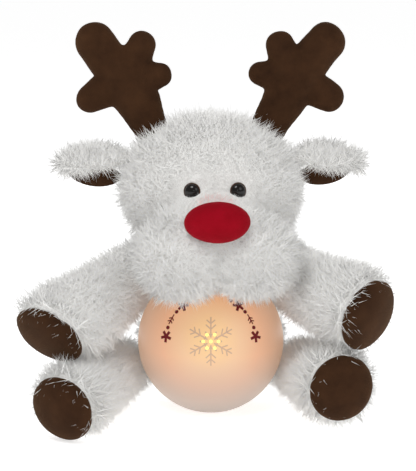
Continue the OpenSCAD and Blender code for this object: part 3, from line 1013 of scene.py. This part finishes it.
# %% [markdown]
# ## The lit globe
# The globe is frosted plastic about two millimetres thick. Light from seven small lamps spreads in
# it: it is brightest around them, turns orange towards the sides, and falls to a dull pink at the
# bottom, which the lamps hardly reach. Real scattering in the wall would be slow and noisy, so the
# glow is painted as light by its distance from the middle lamp. The print is a thin layer of ink:
# a snowflake round the lamps and a garland of stars and sprigs above it. As geometry on its own,
# bent round the ball, it stays sharp from near by.

# %% The globe's glow
PRINT_RISE = math.radians(13.6)
PRINT_WAY = Vector((0, -math.cos(PRINT_RISE), math.sin(PRINT_RISE)))
PRINT_MIDDLE = GLOBE + PRINT_WAY * GLOBE_R
GLOW_REACH = 70
GLOBE_WALL = 1.8 * MM


def globe_finish():
    made = Finish("frosted_globe", Base_Color=(0.34, 0.29, 0.26), Roughness=0.45,
                  Specular_IOR_Level=0.3)
    x, y, z = made.split(made.place())
    across = (x - PRINT_MIDDLE.x) / MM
    deep = (y - PRINT_MIDDLE.y) / MM
    rise = (z - PRINT_MIDDLE.z) / MM
    far = (across * across + deep * deep + rise * rise) ** 0.5
    spread = made.ramp(far / GLOW_REACH, [(0.0, (1.00, 0.58, 0.08)), (0.16, (0.96, 0.52, 0.12)),
                                          (0.30, (0.90, 0.46, 0.15)), (0.52, (0.86, 0.36, 0.13)),
                                          (0.80, (0.62, 0.32, 0.17)), (1.0, (0.52, 0.30, 0.18))])
    low = made.ramp((z - GLOBE.z + GLOBE_R) / (2 * GLOBE_R),
                    [(0.0, (1, 1, 1)), (0.10, (0.9, 0.9, 0.9)), (0.38, (0.25, 0.25, 0.25)),
                     (0.5, (0, 0, 0))])
    made.set("Emission Color", made.blend(low, spread, (0.15, 0.12, 0.10)))
    made.set("Emission Strength", 0.62)
    return made.material


GLOBE_GLOW = globe_finish()


def globe_shell():
    bm = bmesh.new()
    pole_forward = Matrix.Translation(GLOBE) @ turned_by(90, "X")
    bmesh.ops.create_uvsphere(bm, u_segments=128, v_segments=80, radius=GLOBE_R,
                              matrix=pole_forward)
    bmesh.ops.bisect_plane(bm, geom=bm.verts[:] + bm.edges[:] + bm.faces[:],
                           plane_co=(0, corners("lamp_globe")[1].y, 0), plane_no=(0, 1, 0),
                           clear_outer=True)
    for vert in bm.verts:
        vert.co.z = max(vert.co.z, 0.05 * MM)
    piece = new_piece("frosted_globe", bm, GLOBE_GLOW)
    smooth_shading(piece.data)
    wall = piece.modifiers.new("wall", "SOLIDIFY")
    wall.thickness = GLOBE_WALL
    wall.offset = -1
    finished(piece)
    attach(piece, "torso")
    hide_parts("lamp_globe")


globe_shell()
print("globe is", round(2 * GLOBE_R / MM), "mm across")


# %% Ink on the globe
# The ink glows by itself: painted light for the lamp light that passes through it from inside the
# globe.
def ink(name, colour, glow=0.0):
    made = Finish(name, Roughness=0.5, Specular_IOR_Level=0.3)
    speck = made.noise(700, 2)
    made.set("Base Color", made.blend(speck, tuple(c * 0.8 for c in colour), colour))
    made.set("Emission Color", colour)
    made.set("Emission Strength", glow)
    return made.material


INK_TAN = ink("ink_tan", (0.52, 0.34, 0.24), 0.35)
INK_RED = ink("ink_red", (0.16, 0.006, 0.010), 0.10)
LAMP_GLOW = Finish("amber_lamp", Base_Color=(1.0, 0.72, 0.2), Roughness=0.3,
                   Emission_Color=(1.0, 0.74, 0.22), Emission_Strength=0.75).material
PRINT_TURN = facing_turn(PRINT_WAY)
INK_THICK = 0.12 * MM


def on_globe(vert, lift):
    """Wraps a point of the flat print (x across, y up, in metres) onto the globe."""
    flat = Vector((vert.co.x, vert.co.y, 0))
    angle = flat.length / GLOBE_R
    way = Vector((0, 0, 1))
    if flat.length > 1e-9:
        way = Vector((0, 0, math.cos(angle))) + flat.normalized() * math.sin(angle)
    vert.co = GLOBE + PRINT_TURN.to_3x3() @ (way * (GLOBE_R + lift))


def stroke(bm, start, end, width):
    """A flat bar on the print plane, in millimetres, a little longer than its two ends."""
    start = Vector((*start, 0)) * MM
    end = Vector((*end, 0)) * MM
    way = end - start
    turn = Matrix.Rotation(math.atan2(way.y, way.x), 4, "Z")
    matrix = Matrix.Translation((start + end) / 2) @ turn \
        @ Matrix.Diagonal((way.length / 2 + width * MM * 0.3, width * MM / 2, 1, 1))
    bmesh.ops.create_grid(bm, x_segments=6, y_segments=2, size=1, matrix=matrix)


def dot(bm, centre, radius, sides=12):
    bmesh.ops.create_circle(bm, cap_ends=True, segments=sides, radius=radius * MM,
                            matrix=Matrix.Translation((centre[0] * MM, centre[1] * MM, 0)))


def print_layer(name, bm, material):
    for vert in bm.verts:
        on_globe(vert, INK_THICK)
    piece = new_piece(name, bm, material)
    body = piece.modifiers.new("ink", "SOLIDIFY")
    body.thickness = INK_THICK * 0.9
    body.offset = -1
    finished(piece)
    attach(piece, "torso")


def polar(radius, degrees):
    return (radius * math.cos(math.radians(degrees)), radius * math.sin(math.radians(degrees)))


def snowflake():
    bm = bmesh.new()
    for arm in range(6):
        way = 90 + 60 * arm
        stroke(bm, polar(3, way), polar(17, way), 1.0)
        for reach, barb in ((8.5, 4.5), (12.5, 3.8)):
            base = Vector(polar(reach, way))
            for tilt in (-48, 48):
                tip = base + Vector(polar(barb, way + tilt))
                stroke(bm, base, tip, 0.9)
        stroke(bm, polar(7.5, way - 30), polar(4.2, way), 0.8)
        stroke(bm, polar(7.5, way - 30), polar(4.2, way - 60), 0.8)
    print_layer("printed_snowflake", bm, INK_TAN)


def amber_lamps():
    bm = bmesh.new()
    for centre in [(0, 0)] + [polar(5.4, 60 * i) for i in range(6)]:
        dot(bm, centre, 1.25, 20)
    for vert in bm.verts:
        on_globe(vert, INK_THICK * 1.2)
    piece = new_piece("amber_windows", bm, LAMP_GLOW)
    body = piece.modifiers.new("body", "SOLIDIFY")
    body.thickness = INK_THICK
    finished(piece)
    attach(piece, "torso")


def star(bm, centre, radius, way):
    for point in range(5):
        tip = Vector(centre) + Vector(polar(radius, way + 72 * point))
        stroke(bm, centre, tip, radius * 0.55)


def sprig(bm, centre, radius, way):
    stem = Vector(polar(radius, way))
    stroke(bm, Vector(centre) - stem, Vector(centre) + stem, 0.9)
    for share in (-0.35, 0.25):
        base = Vector(centre) + stem * share
        for tilt in (-55, 55):
            stroke(bm, base, base + Vector(polar(radius * 0.62, way + tilt)), 0.9)


GARLAND_R = 34
GARLAND_END = 84
GARLAND_STEP = 11.5


def garland():
    """Marks on two arcs that rise from the snowflake's sides; polar angles, in degrees."""
    bm = bmesh.new()
    for side in SIDES.values():
        for index, mark in enumerate((star, dot, sprig, dot, star, dot)):
            angle = 90 - side * (GARLAND_END - GARLAND_STEP * index)
            centre = polar(GARLAND_R, angle)
            if mark is dot:
                dot(bm, centre, 1.5)
            else:
                mark(bm, centre, 3.9, angle - 90 * side)
    print_layer("printed_garland", bm, INK_RED)


snowflake()
amber_lamps()
garland()
print("globe lit and printed")


# %% [markdown]
# ## The lamp's hidden parts
# Housing, battery base, cells and board are right as the CAD model has them, and modelling them
# again would only risk a difference. They need their finishes: moulded plastic with a fine
# spark-eroded grain, nickel, board green and cell jackets, one recipe for each slot of the model.

# %% Finishes of the hard parts
def moulded(name, colour, rough=0.5):
    made = Finish(name, Specular_IOR_Level=0.4)
    grain = made.noise(1800, 2)
    cloud = made.noise(40, 2)
    made.set("Base Color", made.blend(cloud, tuple(c * 0.93 for c in colour), colour))
    made.set("Roughness", grain * 0.15 + rough)
    made.bump(grain, 0.00005, 0.5)
    return made.material


def metal(name, colour):
    made = Finish(name, Metallic=1.0)
    scratch = made.noise(400, 4, 0.7)
    made.set("Base Color", made.blend(scratch, tuple(c * 0.8 for c in colour), colour))
    made.set("Roughness", scratch * 0.25 + 0.2)
    return made.material


HARD = {
    "white_plastic": moulded("white_plastic", (0.86, 0.86, 0.84)),
    "black_plastic": moulded("black_plastic", (0.02, 0.02, 0.02), 0.4),
    "circuit_green": moulded("circuit_green", (0.02, 0.16, 0.06), 0.3),
    "cell_jacket": moulded("cell_jacket", (0.07, 0.10, 0.16), 0.25),
    "wire_red": moulded("wire_red", (0.45, 0.01, 0.01), 0.4),
    "wire_black": moulded("wire_black", (0.015, 0.015, 0.015), 0.4),
    "steel": metal("nickel", (0.66, 0.65, 0.62)),
    "light_amber": LAMP_GLOW,
    "elastic_hem": KNIT,
    "label_cloth": KNIT,
    "stuffing": KNIT,
}


def dress_cad_nodes():
    slots = {part["node"]: part["material_slot"] for part in frame["record"]["subparts"]}
    for name, piece in NODES.items():
        material = HARD.get(slots[name])
        if material:
            piece.data.materials.clear()
            piece.data.materials.append(material)


dress_cad_nodes()
print(len(HARD), "finishes for the hard parts")


# %% [markdown]
# ## Floor
# A sheet of white paper, part of the set and not of the toy. It is far wider than the view, so
# that no edge shows, and slightly bright by itself, as over-lit paper is.

# %% The floor
def paper_floor():
    bm = bmesh.new()
    bmesh.ops.create_grid(bm, x_segments=1, y_segments=1, size=20)
    paper = Finish("paper", Base_Color=(0.97, 0.97, 0.97), Roughness=0.9, Specular_IOR_Level=0.1,
                   Emission_Color=(1, 1, 1), Emission_Strength=0.6).material
    floor = new_piece("paper_floor", bm, paper)


paper_floor()
print("paper floor laid")
